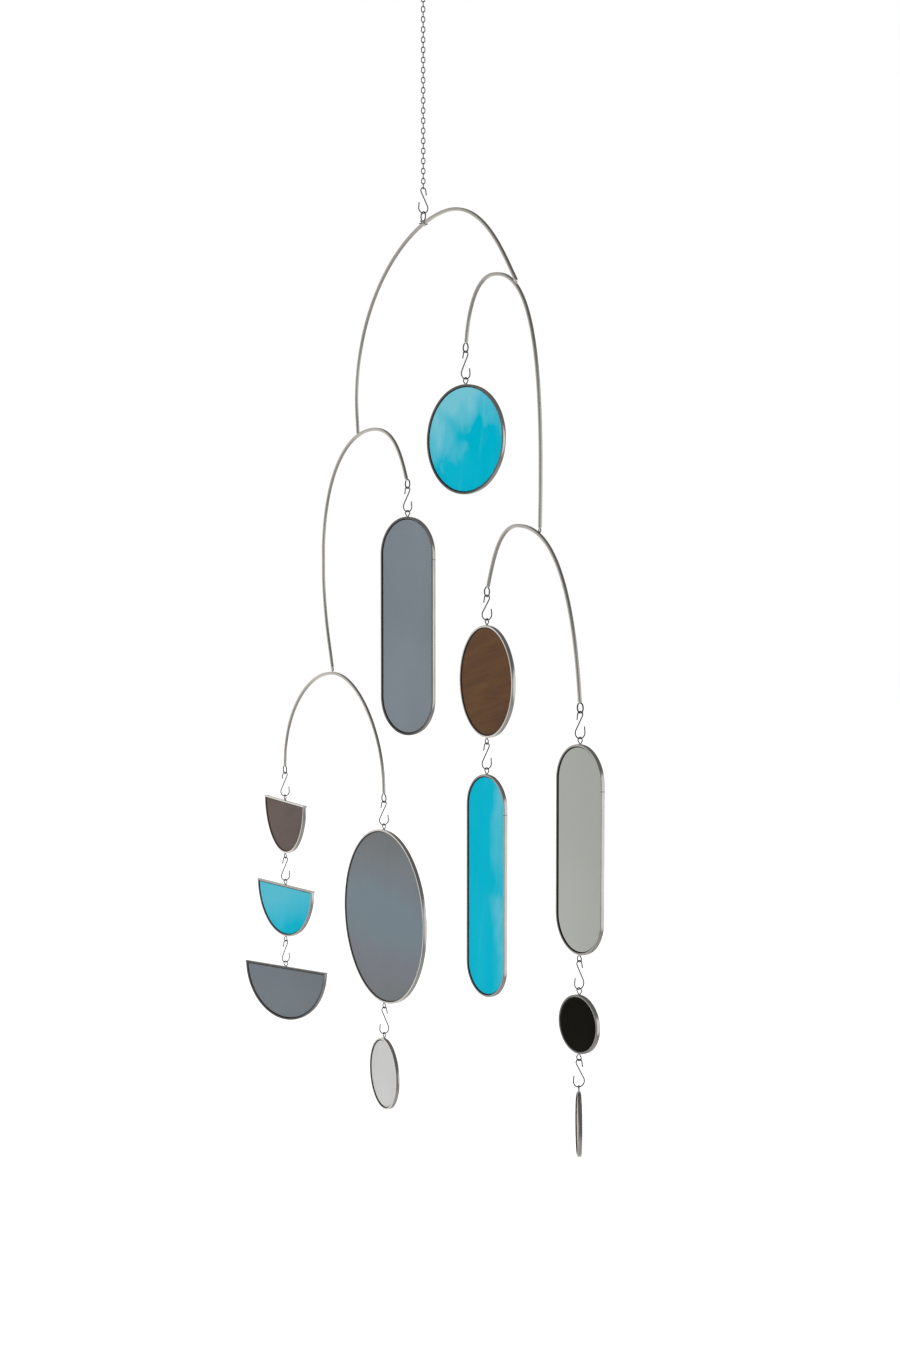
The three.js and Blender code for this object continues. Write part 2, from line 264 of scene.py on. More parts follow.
def local_place(material, scale=(1, 1, 1), turn=0):
    """The piece's own coordinates in metres, turned in its plane and then scaled."""
    nodes, links = material.node_tree.nodes, material.node_tree.links
    place = nodes.new("ShaderNodeTexCoord")
    mapping = nodes.new("ShaderNodeMapping")
    mapping.vector_type = "TEXTURE"
    mapping.inputs["Rotation"].default_value = (0, turn, 0)
    mapping.inputs["Scale"].default_value = tuple(1 / value for value in scale)
    links.new(place.outputs["Object"], mapping.inputs["Vector"])
    return mapping.outputs["Vector"]


def noise(material, vector, scale, detail=3, roughness=0.5, distortion=0):
    """Soft noise from 0 to 1, mostly near 0.5."""
    node = material.node_tree.nodes.new("ShaderNodeTexNoise")
    node.inputs["Scale"].default_value = scale
    node.inputs["Detail"].default_value = detail
    node.inputs["Roughness"].default_value = roughness
    node.inputs["Distortion"].default_value = distortion
    material.node_tree.links.new(vector, node.inputs["Vector"])
    return node.outputs["Fac"]


def ramp(material, value, stops):
    """Colours or greys at places from 0 to 1."""
    node = material.node_tree.nodes.new("ShaderNodeValToRGB")
    while len(node.color_ramp.elements) < len(stops):
        node.color_ramp.elements.new(1)
    for element, (place, colour) in zip(node.color_ramp.elements, stops):
        element.position = place
        element.color = colour if isinstance(colour, tuple) else (colour, colour, colour, 1)
    material.node_tree.links.new(value, node.inputs["Fac"])
    return node.outputs["Color"]


def mix(material, factor, first, second, blend="MIX"):
    """Two colours in one. Each, and the factor, is a value or another node's socket."""
    node = material.node_tree.nodes.new("ShaderNodeMix")
    node.data_type = "RGBA"
    node.blend_type = blend
    for socket, value in ((node.inputs[0], factor), (node.inputs[6], first), (node.inputs[7], second)):
        if isinstance(value, (int, float, tuple)):
            socket.default_value = value
        else:
            material.node_tree.links.new(value, socket)
    return node.outputs[2]


def bump(material, shader, height, distance, strength=1):
    node = material.node_tree.nodes.new("ShaderNodeBump")
    node.inputs["Strength"].default_value = strength
    node.inputs["Distance"].default_value = distance
    material.node_tree.links.new(height, node.inputs["Height"])
    material.node_tree.links.new(node.outputs[0], shader.inputs["Normal"])


def glossy(shader, roughness, reflection):
    shader.inputs["Roughness"].default_value = roughness
    shader.inputs["Specular IOR Level"].default_value = reflection


def metal_material(name, tone, roughness, grain=160, relief=0.01 * MM, wear=0.15, metallic=1):
    """Satin metal of a tone, a little darker in patches from handling and in fine specks."""
    material, shader = new_material(name)
    links = material.node_tree.links
    worn = (*(value * (1 - wear) for value in tone), 1)
    patches = noise(material, local_place(material), grain / 7, 2)
    specks = noise(material, local_place(material), grain, 4, 0.6)
    cloudy = mix(material, 0.3, patches, specks)
    links.new(ramp(material, cloudy, [(0.35, worn), (0.62, (*tone, 1))]), shader.inputs["Base Color"])
    shader.inputs["Metallic"].default_value = metallic
    links.new(
        ramp(material, specks, [(0.2, roughness - 0.03), (0.8, roughness + 0.05)]),
        shader.inputs["Roughness"],
    )
    bump(material, shader, patches, relief * 4, 0.5)
    return material


def shade_fillet_material():
    """Painted shade: a dark, dull coat on the fillet in the corner between glass and metal, standing in for
    the lip's shadow and its dark reflection.
    """
    material, shader = new_material("shade_fillet")
    specks = noise(material, local_place(material), 700, 3)
    colour = ramp(material, specks, [(0.3, srgb(16, 16, 16)), (0.7, srgb(36, 35, 33))])
    material.node_tree.links.new(colour, shader.inputs["Base Color"])
    glossy(shader, 0.55, 0.2)
    bump(material, shader, specks, 0.05 * MM, 0.6)
    return material


def wave_relief(material, shader, depth=0.12 * MM):
    """The faint waves of rolled sheet glass."""
    bump(material, shader, noise(material, local_place(material), 28, 1), depth, 0.6)


def rise(material, direction, shift, span, wander, grain=19):
    """Goes from 0 to 1 over a span of metres in a direction, with 0.5 at the shift, and wanders by noise."""
    nodes, links = material.node_tree.nodes, material.node_tree.links
    dot = nodes.new("ShaderNodeVectorMath")
    dot.operation = "DOT_PRODUCT"
    dot.inputs[1].default_value = tuple(value / span for value in direction)
    links.new(local_place(material), dot.inputs[0])
    wave = nodes.new("ShaderNodeMath")
    wave.operation = "MULTIPLY_ADD"
    wave.inputs[1].default_value = wander
    wave.inputs[2].default_value = 0.5 - wander / 2 - shift / span
    links.new(noise(material, local_place(material, (1, 1, 0.7)), grain, 3, 0.5, 0.3), wave.inputs[0])
    total = nodes.new("ShaderNodeMath")
    links.new(dot.outputs["Value"], total.inputs[0])
    links.new(wave.outputs[0], total.inputs[1])
    return total.outputs[0]


def turquoise_material(name, direction, shift, span, strength, gaps=1.0, wander=0.45, grain=19):
    """Opalescent sheet: deep blue-green with faint wisps, and one pale area towards a direction. On the
    circle and the half disc that pale area is a painted reflection of the bright room.

    The pale area's edge lies shift metres that way and softens over about half the span. strength is its
    paleness, gaps the share of it that is left where it thins, wander how uneven its edge is, and grain
    how fine.
    """
    material, shader = new_material(name)
    deep, bright, pale = srgb(0, 171, 196), srgb(16, 175, 199), srgb(112, 190, 206)
    wisp = srgb(62, 182, 203)
    drift = noise(material, local_place(material, (1, 1, 0.4)), 22, 2, 0.5, 0.4)
    wisps = noise(material, local_place(material, (1, 1, 0.25), 0.12), 60, 3, 0.5, 0.8)
    colour = ramp(material, drift, [(0.44, deep), (0.72, bright)])
    colour = mix(material, ramp(material, wisps, [(0.58, 0.0), (0.78, 0.26)]), colour, wisp)
    # The pale area: on the circle and the half disc, a painted reflection of the bright room
    edge = rise(material, direction, shift, span, wander, grain)
    veil = ramp(material, edge, [(0.28, 0.0), (0.5, 0.42 * strength), (0.85, strength)])
    patches = noise(material, local_place(material), 13, 2, 0.5, 0.5)
    thin = ramp(material, patches, [(0.42, gaps), (0.56, 1.0)])
    veil = mix(material, 1.0, veil, thin, "MULTIPLY")
    colour = mix(material, veil, colour, pale)
    material.node_tree.links.new(colour, shader.inputs["Base Color"])
    glossy(shader, 0.14, 0.02)
    wave_relief(material, shader)
    return material


def brown_material(name, dark, light, spread):
    """Brown sheet with faint streaks that climb a little across it."""
    material, shader = new_material(name)
    streaks = noise(material, local_place(material, (0.08, 1, 1), STREAK_TURN), 210, 4, 0.6, 0.5)
    bands = noise(material, local_place(material, (0.2, 1, 1), STREAK_TURN), 60, 2, 0.5)
    colour = mix(
        material, 0.45,
        ramp(material, streaks, [(0.5 - spread, dark), (0.5 + spread, light)]),
        ramp(material, bands, [(0.38, dark), (0.62, light)]),
    )
    material.node_tree.links.new(colour, shader.inputs["Base Color"])
    glossy(shader, 0.2, 0.03)
    wave_relief(material, shader)
    return material


def plain_glass_material(name, tones, roughness=0.12, reflection=0.06, scale=9, metallic=0):
    """Nearly even sheet glass whose tone drifts slowly through a few colours."""
    material, shader = new_material(name)
    drift = noise(material, local_place(material, (1, 1, 0.6)), scale, 2, 0.45, 0.4)
    places = np.linspace(0.34, 0.66, len(tones))
    colour = ramp(material, drift, list(zip(places, tones)))
    material.node_tree.links.new(colour, shader.inputs["Base Color"])
    shader.inputs["Metallic"].default_value = metallic
    glossy(shader, roughness, reflection)
    wave_relief(material, shader, 0.03 * MM if metallic else 0.12 * MM)
    return material


def banded_glass_material(name, height, tones):
    """Sheet glass whose tone drifts in soft level bands from its foot to its top."""
    material, shader = new_material(name)
    places = np.linspace(0.06, 0.94, len(tones))
    colour = ramp(material, rise(material, (0, 0, 1), 0, height, 0.3), list(zip(places, tones)))
    material.node_tree.links.new(colour, shader.inputs["Base Color"])
    glossy(shader, 0.12, 0.05)
    wave_relief(material, shader)
    return material


MATERIALS = {
    "rod_metal": metal_material("rod_metal", (0.66, 0.63, 0.59), 0.27, 90, wear=0.1, metallic=0.95),
    "wire_metal": metal_material("wire_metal", (0.15, 0.145, 0.138), 0.18, 300),
    "chain_metal": metal_material("chain_metal", (0.13, 0.126, 0.12), 0.18, 300),
    "channel_metal": metal_material("channel_metal", (0.77, 0.745, 0.71), 0.2),
    "solder": metal_material("solder", (0.86, 0.85, 0.83), 0.25, 400, 0.04 * MM, 0.3, 0.6),
    "shade_fillet": shade_fillet_material(),
    # On the circle's and the half disc's sheets the pale area is a painted reflection of the bright room
    "turquoise_circle_reflection": turquoise_material(
        "turquoise_circle_reflection", REFLECTION_ABOVE, 0.014, 0.075, 1, wander=1.8, grain=27,
    ),
    "turquoise_pale": turquoise_material("turquoise_pale", REFLECTION_ALL_ABOVE, -0.038, 0.075, 0.55),
    "turquoise_glass": turquoise_material(
        "turquoise_glass", PALE_BESIDE, 0.015, 0.03, 0.55, gaps=0.25, wander=1.9, grain=24,
    ),
    "brown_glass": brown_material("brown_glass", srgb(79, 53, 38), srgb(97, 68, 39), 0.18),
    "brown_grey": brown_material("brown_grey", srgb(85, 73, 68), srgb(95, 81, 75), 0.3),
    "smoke_bands": banded_glass_material("smoke_bands", 0.21, [
        srgb(108, 113, 116), srgb(112, 115, 122), srgb(109, 122, 129), srgb(109, 123, 131),
        srgb(110, 117, 122), srgb(106, 109, 111),
    ]),
    "smoke_glass": plain_glass_material("smoke_glass", [srgb(117, 125, 132), srgb(123, 132, 139)]),
    "smoke_dim": plain_glass_material("smoke_dim", [srgb(109, 116, 122), srgb(115, 122, 128)]),
    "mirror_glass": plain_glass_material(
        "mirror_glass", [srgb(214, 218, 213), srgb(221, 225, 220)], 0.05, 0.5, 7, 1,
    ),
    "black_glass": plain_glass_material("black_glass", [srgb(16, 15, 11), srgb(24, 23, 17)], 0.08, 0.04),
    "mauve_glass": plain_glass_material("mauve_glass", [srgb(162, 142, 140), srgb(178, 160, 157)], 0.2),
    "white_glass": plain_glass_material("white_glass", [srgb(190, 190, 189), srgb(198, 198, 197)], 0.2),
}


# Mesh helpers. Each piece is drawn in a plane of its own: across, and up. Depth is square to it.
def build(name, parts, matrix=Matrix.Identity(4), sharp=SHARP_ANGLE):
    """A piece from parts of (vertices, faces, material name), with their faces turned outwards."""
    mesh = bpy.data.meshes.new(name)
    names = list(dict.fromkeys(slot for _, _, slot in parts))
    for slot in names:
        mesh.materials.append(MATERIALS[slot])
    work = bmesh.new()
    for vertices, faces, slot in parts:
        corners = [work.verts.new(vertex) for vertex in vertices]
        made = []
        for face in faces:
            made.append(work.faces.new([corners[i] for i in face]))
            made[-1].material_index = names.index(slot)
            made[-1].smooth = True
        bmesh.ops.recalc_face_normals(work, faces=made)
    work.to_mesh(mesh)
    work.free()
    mesh.set_sharp_from_angle(angle=math.radians(sharp))
    piece = bpy.data.objects.new(name, mesh)
    piece.matrix_world = matrix
    bpy.context.collection.objects.link(piece)
    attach(piece, "root")
    return piece


def moved(part, place, turn=0):
    """A part turned about the vertical and set at a place."""
    vertices, faces, slot = part
    cos, sin = math.cos(turn), math.sin(turn)
    x, y, z = np.asarray(vertices, float).T
    return np.column_stack([x * cos - y * sin, x * sin + y * cos, z]) + np.asarray(place), faces, slot


def placed(part, matrix):
    """A part carried by a matrix."""
    vertices, faces, slot = part
    matrix = np.array(matrix)
    return np.asarray(vertices, float) @ matrix[:3, :3].T + matrix[:3, 3], faces, slot


def circle_section(diameter, sides=WIRE_SIDES):
    """The section of a round wire."""
    angles = np.arange(sides) * 2 * math.pi / sides
    return np.column_stack([np.cos(angles), np.sin(angles)]) * diameter / 2


def rounded(corners, radius):
    """A closed outline with each corner rounded off."""
    corners = np.asarray(corners, float)
    points = []
    for before, corner, after in zip(np.roll(corners, 1, 0), corners, np.roll(corners, -1, 0)):
        back, on = before - corner, after - corner
        reach = min(radius, np.linalg.norm(back) * CORNER_SHARE, np.linalg.norm(on) * CORNER_SHARE)
        start = corner + back / np.linalg.norm(back) * reach
        end = corner + on / np.linalg.norm(on) * reach
        for t in np.linspace(0, 1, CORNER_STEPS + 1):
            points.append((1 - t) ** 2 * start + 2 * t * (1 - t) * corner + t * t * end)
    return np.array(points)


def swept(line, section, slot, closed=False, scales=None):
    """A section carried along a line. Its first number runs out of the line, its second is depth."""
    line = np.asarray(line, float)
    if closed:
        along = np.roll(line, -1, 0) - np.roll(line, 1, 0)
    else:
        along = np.gradient(line, axis=0)
    along /= np.linalg.norm(along, axis=1)[:, None]
    out = np.column_stack([along[:, 1], -along[:, 0]])
    scales = np.ones(len(line)) if scales is None else np.asarray(scales)
    count, sides = len(line), len(section)
    offset = scales[:, None] * section[None, :, 0]
    across = line[:, 0, None] + out[:, 0, None] * offset
    up = line[:, 1, None] + out[:, 1, None] * offset
    depth = scales[:, None] * section[None, :, 1]
    vertices = np.stack([across, depth, up], -1).reshape(-1, 3)
    faces = []
    for i in range(count if closed else count - 1):
        for j in range(sides):
            k, m = (i + 1) % count, (j + 1) % sides
            faces.append((i * sides + j, i * sides + m, k * sides + m, k * sides + j))
    if not closed:
        faces.append(tuple(range(sides)))
        faces.append(tuple((count - 1) * sides + j for j in range(sides)))
    return vertices, faces, slot


def wire(line, diameter, slot):
    """A round wire with softly rounded ends."""
    line = np.asarray(line, float)
    radius = diameter / 2
    first, last = line[0] - line[1], line[-1] - line[-2]
    first, last = first / np.linalg.norm(first), last / np.linalg.norm(last)
    head = [line[0] + first * radius * (reach - 0.5) for reach, _ in reversed(WIRE_TIP)]
    tail = [line[-1] + last * radius * (reach - 0.5) for reach, _ in WIRE_TIP]
    tip_sizes = [size for _, size in WIRE_TIP]
    sizes = tip_sizes[::-1] + [1] * (len(line) - 2) + tip_sizes
    return swept([*head, *line[1:-1], *tail], circle_section(diameter), slot, scales=sizes)


def ring(diameter, wire_diameter, slot):
    """A closed ring of round wire, from its outside diameter."""
    angles = np.arange(RING_STEPS) * 2 * math.pi / RING_STEPS
    radius = (diameter - wire_diameter) / 2
    line = np.column_stack([np.cos(angles), np.sin(angles)]) * radius
    return swept(line, circle_section(wire_diameter), slot, closed=True)


def bead(place, size, lean=0, seed=1):
    """A lump of solder: a ball of three half sizes, a little uneven."""
    vertices, faces = [], []
    steps = LUMP_STEPS
    rows = steps // 2
    for i in range(rows + 1):
        polar = math.pi * i / rows
        for j in range(steps):
            angle = 2 * math.pi * j / steps
            rough = 1 + 0.05 * math.sin(3 * angle + seed) * math.sin(polar) ** 2
            rough += 0.04 * math.sin(5 * polar + 2 * seed) * math.sin(polar)
            vertices.append((
                size[0] * math.sin(polar) * math.cos(angle) * rough,
                size[1] * math.sin(polar) * math.sin(angle) * rough,
                size[2] * math.cos(polar) * rough,
            ))
    vertices = np.array(vertices)
    cos, sin = math.cos(lean), math.sin(lean)
    x, z = vertices[:, 0].copy(), vertices[:, 2].copy()
    vertices[:, 0], vertices[:, 2] = x * cos - z * sin, x * sin + z * cos
    for i in range(rows):
        for j in range(steps):
            k = (j + 1) % steps
            faces.append((i * steps + j, i * steps + k, (i + 1) * steps + k, (i + 1) * steps + j))
    top, bottom = vertices[:steps].mean(0), vertices[-steps:].mean(0)
    kept = vertices[steps:-steps]
    inner = [tuple(n - steps for n in face) for face in faces[steps:-steps]]
    last = len(kept)
    inner += [(j, (j + 1) % steps, last) for j in range(steps)]
    base = last - steps
    inner += [(base + j, base + (j + 1) % steps, last + 1) for j in range(steps)]
    return moved((np.vstack([kept, top, bottom]), inner, "solder"), place)


# What the frame says
def corners_of(node):
    """A node's different corners."""
    points = np.array([vertex.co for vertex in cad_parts[node].data.vertices])
    return np.unique(points.round(6), axis=0)


def plane_of(node):
    """The middle of a flat, upright node and the turn of its plane about the vertical."""
    points = corners_of(node)
    middle = (points.min(0) + points.max(0)) / 2
    flat = points[:, :2] - middle[:2]
    across = np.linalg.svd(flat - flat.mean(0), full_matrices=False)[2][0]
    turn = math.atan2(across[1], across[0])
    if abs(turn) > math.pi / 2:
        turn -= math.copysign(math.pi, turn)
    return middle, turn


def panel_of(name):
    """A panel's outline, worked out from its glass, with its middle on the round form's middle."""
    inset = CHANNEL_WALL + CLEARANCE
    middle, turn = plane_of(f"{name}_glass")
    points = corners_of(f"{name}_glass")
    across = (points[:, :2] - middle[:2]) @ np.array([math.cos(turn), math.sin(turn)])
    width = across.max() - across.min() + 2 * inset
    top, bottom = points[:, 2].max() + inset, points[:, 2].min() - inset
    half = "half" in name
    centre = middle.copy()
    centre[2] = top if half else (top + bottom) / 2
    return {"width": width, "height": top - bottom, "top": top, "bottom": bottom,
            "centre": centre, "turn": turn, "half": half}


def rod_line(node):
    """The middle line of a bent rod, from its left foot to its right, smooth between its bends."""
    points = corners_of(node)
    front = points[points[:, 1] < points[:, 1].mean()][:, [0, 2]]
    middles = set()
    for i, point in enumerate(front):
        gaps = np.linalg.norm(front - point, axis=1)
        gaps[i] = np.inf
        middles.add(tuple(np.round((point + front[gaps.argmin()]) / 2, 6)))
    waiting = [np.array(point) for point in sorted(middles)]
    centre = np.mean([point[0] for point in waiting])
    line = [min((point for point in waiting if point[0] <= centre), key=lambda point: point[1])]
    while True:
        waiting = [point for point in waiting if not np.array_equal(point, line[-1])]
        if not waiting:
            break
        line.append(min(waiting, key=lambda point: np.linalg.norm(point - line[-1])))
    line = smooth_through(np.array(line), ROD_STEPS_BETWEEN)
    low, high = np.array(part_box(node))[:, [0, 2]]
    return np.clip(line, low + [ROD_HEIGHT / 2, 0], high - ROD_HEIGHT / 2)


def smooth_through(points, steps):
    """A smooth line through points, with the same number of steps between each two."""
    extended = np.vstack([2 * points[0] - points[1], points, 2 * points[-1] - points[-2]])
    line = []
    for p0, p1, p2, p3 in zip(extended, extended[1:], extended[2:], extended[3:]):
        d0, d1, d2 = (np.linalg.norm(b - a) ** 0.5 for a, b in ((p0, p1), (p1, p2), (p2, p3)))
        m1 = (p2 - p1) + d1 * ((p1 - p0) / d0 - (p2 - p0) / (d0 + d1))
        m2 = (p2 - p1) + d1 * ((p3 - p2) / d2 - (p3 - p1) / (d1 + d2))
        for t in np.linspace(0, 1, steps, endpoint=False):
            line.append((2 * t**3 - 3 * t**2 + 1) * p1 + (t**3 - 2 * t**2 + t) * m1
                        + (3 * t**2 - 2 * t**3) * p2 + (t**3 - t**2) * m2)
    line.append(points[-1])
    return np.array(line)


# Rods
def rod_section():
    """The rods' section: square bar with rounded edges."""
    across, depth = ROD_HEIGHT / 2, ROD_DEPTH / 2
    corners = [(-across, -depth), (across, -depth), (across, depth), (-across, depth)]
    return rounded(corners, ROD_EDGE_ROUND)


def add_rods():
    for name in ARCHES:
        piece = build(name + "_rod", [swept(rod_line(name), rod_section(), "rod_metal")])
        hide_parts(name)


# Rings at the feet, on the crown and at the top of the chain, and the small eyes
def add_ring(node, wire_diameter):
    """A ring in the place and plane of its node."""
    middle, turn = plane_of(node)
    points = corners_of(node)
    diameter = points[:, 2].max() - points[:, 2].min()
    parts = [ring(diameter, wire_diameter, "wire_metal")]
    piece = build(node + "_wire", parts, Matrix.Translation(middle) @ Matrix.Rotation(turn, 4, "Z"))
    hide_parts(node)


def add_rings():
    add_ring("hanging_ring", HANGING_RING_WIRE)
    add_ring("top_arch_ring", ROD_RING_WIRE)
    for node in STRINGS:
        add_ring(node, ROD_RING_WIRE)
    for node in ("lower_right_arch_joint_eye", "lower_left_arch_joint_eye"):
        add_ring(node, JOINT_EYE_WIRE)


# Chain
def link_line():
    """The middle line of an oval link."""
    radius = (LINK_WIDTH - LINK_WIRE) / 2
    straight = (LINK_INSIDE + LINK_WIRE) / 2 - radius
    line = []
    for angle in np.linspace(0, 2 * math.pi, LINK_STEPS, endpoint=False):
        up = math.sin(angle)
        lift = straight * np.clip(up * LINK_EASE, -1, 1)
        line.append((radius * math.cos(angle), radius * up + lift))
    return line


def add_chain():
    """The links, each turned a quarter against the one above it."""
    low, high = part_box("chain")
    first = high[2] - LINK_WIRE - LINK_INSIDE / 2
    count = round((high[2] - low[2] - 2 * LINK_WIRE - LINK_INSIDE) / LINK_PITCH) + 1
    link = swept(link_line(), circle_section(LINK_WIRE, LINK_SIDES), "chain_metal", closed=True)
    links = []
    for i in range(count):
        turn = LINK_TURN + i * math.pi / 2
        links.append(moved(link, (0, 0, first - i * LINK_PITCH), turn))
    piece = build("chain_links", links)
    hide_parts("chain")


# S-hooks
def arc(centre, radius, start, end):
    """Points on a hook's loop, whose centre is on the hanging line."""
    steps = math.ceil(abs(end - start) * radius / HOOK_STEP)
    angles = np.linspace(start, end, steps)
    return [(radius * math.cos(angle), centre + radius * math.sin(angle)) for angle in angles]


def hook_line(height):
    """The middle line of an S-hook, from the inside top of its small loop down."""
    top = HOOK_WIRE / 2 - HOOK_TOP_RADIUS
    bottom = 1.5 * HOOK_WIRE - height + HOOK_BOTTOM_RADIUS
    lean = math.asin((HOOK_TOP_RADIUS + HOOK_BOTTOM_RADIUS) / (top - bottom))
    top_loop = arc(top, HOOK_TOP_RADIUS, 0, math.pi + lean)
    bottom_loop = arc(bottom, HOOK_BOTTOM_RADIUS, lean, -math.pi)
    top_tip = np.array([HOOK_TOP_RADIUS + HOOK_TOP_FLARE, top - HOOK_TOP_TIP])
    bottom_tip = np.array([HOOK_BOTTOM_LEAN - HOOK_BOTTOM_RADIUS, bottom + HOOK_BOTTOM_TIP])
    start = between(top_tip, top_loop[0], 0, 0.8, HOOK_TIP_STEPS)
    shank = between(top_loop[-1], bottom_loop[0], 0.1, 0.9, HOOK_SHANK_STEPS)
    end = between(bottom_loop[-1], bottom_tip, 0.2, 1, HOOK_TIP_STEPS)
    return softened(np.array([*start, *top_loop, *shank, *bottom_loop, *end]), HOOK_SOFTENING)


def between(first, second, start, end, steps):
    """Points on the straight between two others, from one share of the way to another."""
    first, second = np.array(first), np.array(second)
    return [first + (second - first) * t for t in np.linspace(start, end, steps)]


def softened(line, rounds):
    """A line whose inner points each move halfway to the middle of their neighbours."""
    line = line.copy()
    for _ in range(rounds):
        line[1:-1] = line[1:-1] / 2 + (line[:-2] + line[2:]) / 4
    return line


def hook_turn(node, place):
    """The turn of a hook's plane, with the side of its upper tip as its first direction."""
    _, turn = plane_of(node)
    points = corners_of(node)
    upper = points[points[:, 2] > points[:, 2].max() - 2 * HOOK_TOP_RADIUS - HOOK_TOP_TIP / 2]
    across = (upper[:, :2] - np.array(place[:2])) @ np.array([math.cos(turn), math.sin(turn)])
    return turn if across.max() > -across.min() else turn + math.pi


def add_hook(node, place, height):
    """An S-hook that hangs with the inside top of its small loop at a place."""
    matrix = Matrix.Translation(place) @ Matrix.Rotation(hook_turn(node, place), 4, "Z")
    piece = build(node + "_wire", [wire(hook_line(height), HOOK_WIRE, "wire_metal")], matrix)
    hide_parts(node)


# Panels
def channel_section(outer=-CHANNEL_SHRINK):
    """The channel's section: out from the panel's edge, then depth."""
    face, groove = CHANNEL_DEPTH / 2 + outer, GROOVE_WIDTH / 2
    lip, floor = -CHANNEL_FACE - outer, -CHANNEL_WALL
    corners = [(outer, -face), (outer, face), (lip, face), (lip, groove),
               (floor, groove), (floor, -groove), (lip, -groove), (lip, -face)]
    return rounded(corners, CHANNEL_EDGE_ROUND)


def shade_fillet_sections():
    """The dark fillet of painted shade in the corner between each lip and the glass, front and back."""
    lip, face, glass = -CHANNEL_FACE, CHANNEL_DEPTH / 2, GLASS_THICKNESS / 2
    front = np.array([
        (lip + SHADE_FILLET_SINK, glass - SHADE_FILLET_SINK), (lip + SHADE_FILLET_SINK, face - SHADE_FILLET_DROPS[0]),
        (lip - SHADE_FILLET_REACHES[0], face - SHADE_FILLET_DROPS[1]), (lip - SHADE_FILLET_REACHES[1], glass - SHADE_FILLET_SINK),
    ])
    return [front, front[::-1] * [1, -1]]


def outline(width, height, inset=0.0, half=False):
    """The line of a panel's edge, up on the right side and round: a circle, a long panel or a half."""
    radius = width / 2 - inset
    straight = 0 if half else (height - width) / 2
    steps = max(CURVE_STEPS_AT_LEAST, math.ceil(math.pi * radius / CURVE_STEP))
    if half:
        return [(radius * math.cos(a), radius * math.sin(a)) for a in np.linspace(-math.pi, 0, steps)]
    upper = [(radius * math.cos(a), straight + radius * math.sin(a))
             for a in np.linspace(0, math.pi, steps, endpoint=straight > 0)]
    lower = [(radius * math.cos(a), -straight + radius * math.sin(a))
             for a in np.linspace(math.pi, 2 * math.pi, steps, endpoint=straight > 0)]
    return upper + lower


def panel_eye(middle, below_panel=False):
    """A wire loop that narrows into the solder that holds it on the channel."""
    angles = np.arange(RING_STEPS) * 2 * math.pi / RING_STEPS
    radius = (EYE_DIAMETER - EYE_WIRE) / 2
    sign = -1 if below_panel else 1
    line = []
    for angle in angles:
        up = math.sin(angle)
        narrow = 1 - EYE_NARROWING * max(0, -up)
        line.append((radius * math.cos(angle) * narrow, sign * radius * up + middle))
    loop = swept(line, circle_section(EYE_WIRE), "wire_metal", closed=True)
    foot = middle - sign * (EYE_DIAMETER / 2 - SOLDER_SINK)
    lump = bead((0, 0, foot + sign * EYE_LUMP_LIFT), EYE_LUMP, seed=middle / MM)
    return [loop, lump]


def glass_slab(panel, slot):
    """The sheet of glass, with softened edges."""
    inset = CHANNEL_WALL + CLEARANCE
    front, soft = GLASS_THICKNESS / 2, GLASS_EDGE_ROUND
    rings = [(inset + soft, -front), (inset, soft - front), (inset, front - soft), (inset + soft, front)]
    vertices, faces = [], []
    for shift, depth in rings:
        line = outline(panel["width"], panel["height"], shift, panel["half"])
        if panel["half"]:
            line = [(across, min(up, -shift)) for across, up in line]
        vertices += [(across, depth, up) for across, up in line]
    count = len(vertices) // len(rings)
    for i in range(len(rings) - 1):
        for j in range(count):
            k = (j + 1) % count
            faces.append((i * count + j, i * count + k, (i + 1) * count + k, (i + 1) * count + j))
    faces.append(tuple(range(count)))
    faces.append(tuple((len(rings) - 1) * count + j for j in range(count)))
    return vertices, faces, slot


def frame_parts(panel, carries_more):
    """A panel's channel with its dark fillet of painted shade, its joint or corner solder, and its eyes."""
    width, height, half = panel["width"], panel["height"], panel["half"]
    line = outline(width, height, 0, half)
    section = channel_section()
    parts = []
    if half:
        parts.append(swept(line, section, "channel_metal"))
        end = width / 2 + BAR_OVERHANG
        bar = [(across, 0) for across in np.linspace(end, -end, BAR_STEPS)]
        parts.append(swept(bar, section, "channel_metal"))
        inner_end = width / 2 - CHANNEL_FACE
        inner_bar = [(across, 0) for across in np.linspace(inner_end, -inner_end, BAR_STEPS)]
        # A dark fillet of painted shade in each corner between lip and glass
        for corner in shade_fillet_sections():
            parts.append(swept(line, corner, "shade_fillet"))
            parts.append(swept(inner_bar, corner, "shade_fillet"))
        for side in (-1, 1):
            place = (side * (end - CORNER_LUMP_INSET), 0, -CORNER_LUMP_DROP)
            parts.append(bead(place, CORNER_LUMP, seed=side + 2))
    else:
        parts.append(swept(line, section, "channel_metal", closed=True))
        # A dark fillet of painted shade in each corner between lip and glass
        parts += [swept(line, corner, "shade_fillet", closed=True) for corner in shade_fillet_sections()]
        if height > width:
            parts.append(seam(panel))
    top = 0 if half else height / 2
    bottom = -width / 2 if half else -height / 2
    reach = EYE_DIAMETER / 2 - SOLDER_SINK
    parts += panel_eye(top + reach)
    if carries_more:
        parts += panel_eye(bottom - reach, below_panel=True)
    return parts


def seam(panel):
    """The joint where the two ends of the channel butt together on a long panel's side."""
    straight = (panel["height"] - panel["width"]) / 2
    up = straight - SEAM_DROP
    line = [(panel["width"] / 2, up + step * SEAM_REACH) for step in (-1, 0, 1)]
    return swept(line, channel_section(0), "wire_metal")


